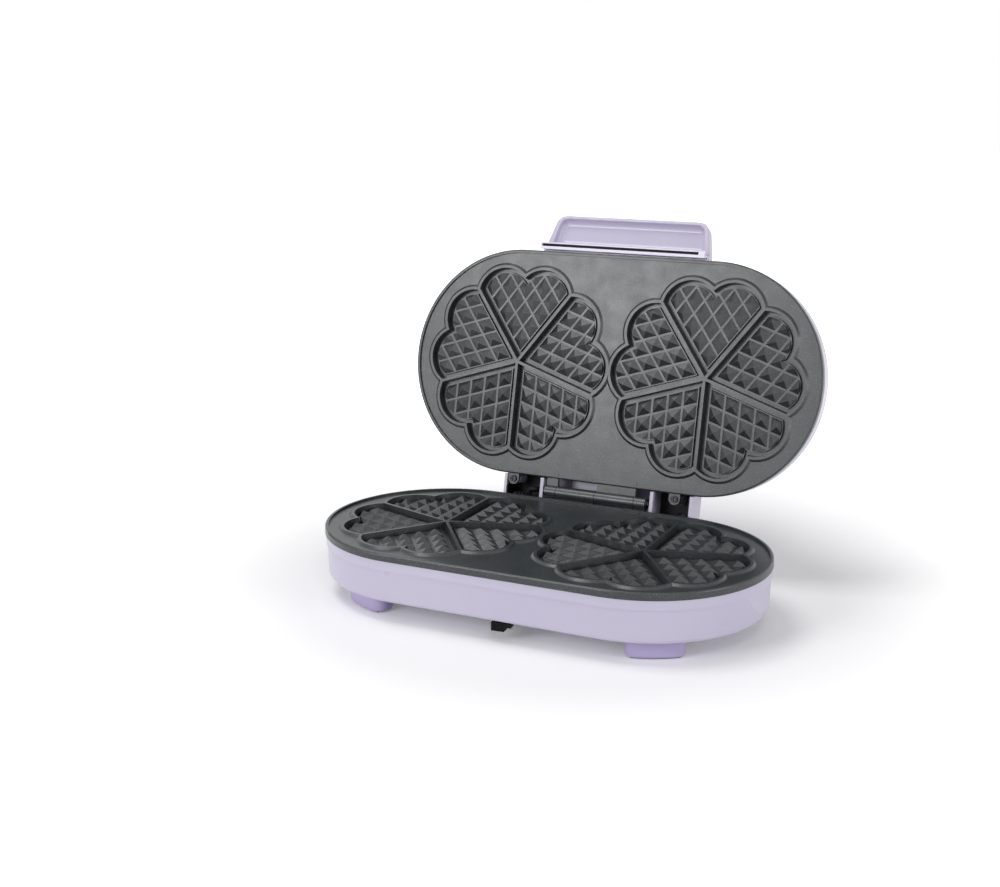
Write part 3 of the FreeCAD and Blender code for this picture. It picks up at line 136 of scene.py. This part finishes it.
def moulded_plastic(name, colour, shade, smooth, worn, coat=0.0, shine=0.5):
    """Moulded plastic: flow clouds, fine orange peel, and roughness from smooth to worn."""
    made = Finish(name, Coat_Weight=coat, Coat_Roughness=0.08, Specular_IOR_Level=shine)
    clouds = made.spread(made.noise(0.08, 1.0), 0.0, 1.0, 0.3, 0.7)
    grain = made.spread(made.noise(0.0009, 2.0), 0.0, 0.35, 0.35, 0.65)
    cloudy = made.mix(clouds, colour, shade)
    made.colour(made.mix(grain, cloudy, shade))
    made.roughness(made.spread(made.noise(0.03, 1.0), smooth, worn, 0.2, 0.8))
    peel = made.relief(made.noise(0.0045, 1.0), 0.00003, 0.3)
    made.relief(made.noise(0.0006, 2.0), 0.00001, 0.5, peel)
    return made.material


def nonstick_casting():
    """Cast aluminium under a sprayed non-stick coat: dark, fine-grained, with pale mica flecks."""
    made = Finish("nonstick_casting", Specular_IOR_Level=0.6)
    clouds = made.spread(made.noise(0.03, 4.0), 0.0, 1.0, 0.3, 0.7)
    coat = made.mix(clouds, tone(34, 38, 40), tone(42, 47, 49))
    grain = made.spread(made.noise(0.0007, 3.0), 0.0, 1.0, 0.58, 0.78)
    made.colour(made.mix(grain, coat, tone(112, 119, 121)))
    made.roughness(made.spread(made.noise(0.012, 4.0), 0.29, 0.36, 0.3, 0.7))
    cast = made.relief(made.noise(0.003, 3.0), 0.00006, 0.5)
    made.relief(made.noise(0.0008, 3.0), 0.00004, 0.7, cast)
    return made.material


def brushed_metal(name, colour, roughness, along=(1, 1, 1)):
    """Metal drawn or brushed along one way."""
    made = Finish(name, Metallic=1.0)
    streaks = made.noise(0.0006, 3.0, made.stretched(along))
    dull = tuple(0.8 * part for part in colour[:3]) + (1.0,)
    made.colour(made.mix(made.spread(streaks, 0.0, 1.0, 0.35, 0.65), colour, dull))
    made.roughness(made.spread(streaks, roughness, roughness + 0.14, 0.3, 0.7))
    made.relief(streaks, 0.00001, 0.3)
    return made.material


def rubber(name, colour):
    """Matt rubber with a fine dusty grain."""
    made = Finish(name, Specular_IOR_Level=0.3)
    grain = made.noise(0.0008, 4.0)
    dusty = tuple(1.35 * part for part in colour[:3]) + (1.0,)
    made.colour(made.mix(made.spread(grain, 0.0, 1.0, 0.4, 0.7), colour, dusty))
    made.roughness(made.spread(made.noise(0.006), 0.65, 0.85, 0.3, 0.7))
    made.relief(grain, 0.00003, 0.5)
    return made.material


def lamp_lens(name, colour):
    """A clear coloured lens over a lamp."""
    made = Finish(name, Transmission_Weight=0.6, IOR=1.49, Coat_Weight=0.3)
    ribs = made.noise(0.0015, 2.0)
    deep = tuple(0.6 * part for part in colour[:3]) + (1.0,)
    made.colour(made.mix(made.spread(ribs, 0.0, 1.0, 0.4, 0.6), colour, deep))
    made.roughness(made.spread(ribs, 0.05, 0.15))
    made.relief(ribs, 0.00004, 0.4)
    return made.material


LILAC = moulded_plastic(
    "lilac_plastic", tone(199, 193, 214), tone(196, 190, 212), 0.27, 0.31, coat=0.25
)
# The feet are the body's lilac plastic; this darker, more saturated lilac is painted shade for
# their place low under the base.
FOOT_PAINTED_SHADE = moulded_plastic(
    "foot_plastic", tone(180, 169, 206), tone(177, 166, 204), 0.3, 0.35, coat=0.15
)
# Black plastic: the lever tab's own colour. The same black lines the hinge bays, where it is
# painted shade standing in for the deep shade inside the lid's housing.
BLACK_PLASTIC_AND_PAINTED_SHADE = moulded_plastic(
    "black_plastic", tone(16, 16, 18), tone(11, 11, 13), 0.45, 0.55, shine=0.15
)
COATING = nonstick_casting()
STEEL = brushed_metal("steel", tone(178, 180, 184), 0.28, (1, 1, 12))
BLACKENED = brushed_metal("blackened_steel", tone(62, 62, 66), 0.36)
SHEET = brushed_metal("reflector_sheet", tone(205, 207, 210), 0.2, (12, 1, 1))
SHEATH = brushed_metal("element_sheath", tone(120, 114, 108), 0.42)
BRASS = brushed_metal("brass", tone(206, 174, 105), 0.25)
RUBBER = rubber("grey_rubber", tone(90, 90, 94))
SLEEVE = rubber("wire_sleeve", tone(206, 200, 186))
CERAMIC = moulded_plastic("ceramic", tone(232, 228, 218), tone(222, 217, 205), 0.4, 0.6)
RED_LENS = lamp_lens("red_lens", tone(214, 46, 40))
GREEN_LENS = lamp_lens("green_lens", tone(60, 190, 90))
GLASS = lamp_lens("lamp_glass", tone(240, 236, 226))

FINISHES = {
    "lilac_plastic": LILAC,
    "foot_plastic": FOOT_PAINTED_SHADE,
    "grey_rubber": RUBBER,
    "nonstick_casting": COATING,
    "steel": STEEL,
    "blackened_steel": BLACKENED,
    "reflector_sheet": SHEET,
    "element_sheath": SHEATH,
    "black_plastic": BLACK_PLASTIC_AND_PAINTED_SHADE,
    "ceramic": CERAMIC,
    "brass": BRASS,
    "wire_sleeve": SLEEVE,
    "red_lens": RED_LENS,
    "green_lens": GREEN_LENS,
    "lamp_glass": GLASS,
}


def finish_frame():
    """Gives each CAD node the finish that its slot names."""
    for node in NODES.values():
        for place in node.material_slots:
            place.material = FINISHES[place.material.name.split(".")[0]]


# ---------------------------------------------------------------- studio


def aim(thing, target):
    """Turns a lamp or the camera to face the target."""
    thing.rotation_euler = (Vector(target) - thing.location).to_track_quat("-Z", "Y").to_euler()


def place_camera():
    lens = bpy.data.cameras.new("camera")
    lens.sensor_width = SENSOR_WIDTH
    lens.lens = CAMERA_LENS
    camera = bpy.data.objects.new("camera", lens)
    camera.location = CAMERA_PLACE
    aim(camera, CAMERA_TARGET)
    bpy.context.scene.collection.objects.link(camera)
    bpy.context.scene.camera = camera


def softbox(name, place, target, width, height, power):
    """A rectangular lamp that faces its target."""
    lamp = bpy.data.lights.new(name, "AREA")
    lamp.shape = "RECTANGLE"
    lamp.size = width
    lamp.size_y = height
    lamp.energy = power
    light = bpy.data.objects.new(name, lamp)
    light.location = place
    aim(light, target)
    bpy.context.scene.collection.objects.link(light)


def seen_rays(nodes, links):
    """1 where the camera, a gloss or a clear piece sees it, 0 where it only gives light."""
    path = nodes.new("ShaderNodeLightPath")
    seen = path.outputs["Is Camera Ray"]
    for ray in ("Is Glossy Ray", "Is Transmission Ray"):
        either = nodes.new("ShaderNodeMath")
        either.operation = "MAXIMUM"
        links.new(seen, either.inputs[0])
        links.new(path.outputs[ray], either.inputs[1])
        seen = either.outputs["Value"]
    return seen


def light_world(strength):
    """Even soft light, with plain white behind the object, in its gloss and through its glass."""
    world = bpy.data.worlds.new("studio")
    bpy.context.scene.world = world
    world.use_nodes = True
    nodes = world.node_tree.nodes
    links = world.node_tree.links
    light = nodes["Background"]
    light.inputs["Color"].default_value = WHITE
    light.inputs["Strength"].default_value = strength
    backdrop = nodes.new("ShaderNodeBackground")
    backdrop.inputs["Color"].default_value = WHITE
    backdrop.inputs["Strength"].default_value = 1.0
    blend = nodes.new("ShaderNodeMixShader")
    links.new(seen_rays(nodes, links), blend.inputs["Fac"])
    links.new(light.outputs[0], blend.inputs[1])
    links.new(backdrop.outputs[0], blend.inputs[2])
    links.new(blend.outputs[0], nodes["World Output"].inputs["Surface"])


def lay_floor():
    """A white table top that keeps the object's shadow and runs into the white behind it."""
    bpy.ops.object.select_all(action="DESELECT")
    bpy.ops.mesh.primitive_plane_add(size=TABLE_WIDTH, location=(0, 0, 0))
    floor = bpy.context.object
    floor.name = "floor"
    made = Finish("table_top", Roughness=0.6, Specular_IOR_Level=0.15)
    made.colour(made.mix(made.noise(0.8, 2.0), tone(250, 250, 251), tone(247, 247, 249)))
    away = made.nodes.new("ShaderNodeVectorMath")
    away.operation = "LENGTH"
    made.link(made.place, away, "Vector")
    glow = made.spread(away.outputs["Value"], GLOW_UNDER, GLOW_AWAY, GLOW_START, GLOW_END)
    share = made.nodes.new("ShaderNodeMath")
    share.operation = "MULTIPLY"
    made.link(glow, share.inputs[0])
    made.link(seen_rays(made.nodes, made.links), share.inputs[1])
    made.shader.inputs["Emission Color"].default_value = WHITE
    made.link(share.outputs["Value"], made.shader, "Emission Strength")
    floor.data.materials.append(made.material)


bpy.context.scene.view_settings.view_transform = "Standard"
place_camera()
light_world(WORLD_LIGHT)
for name, place, target, width, height, power in SOFTBOXES:
    softbox(name, place, target, width, height, power)
lay_floor()
finish_frame()
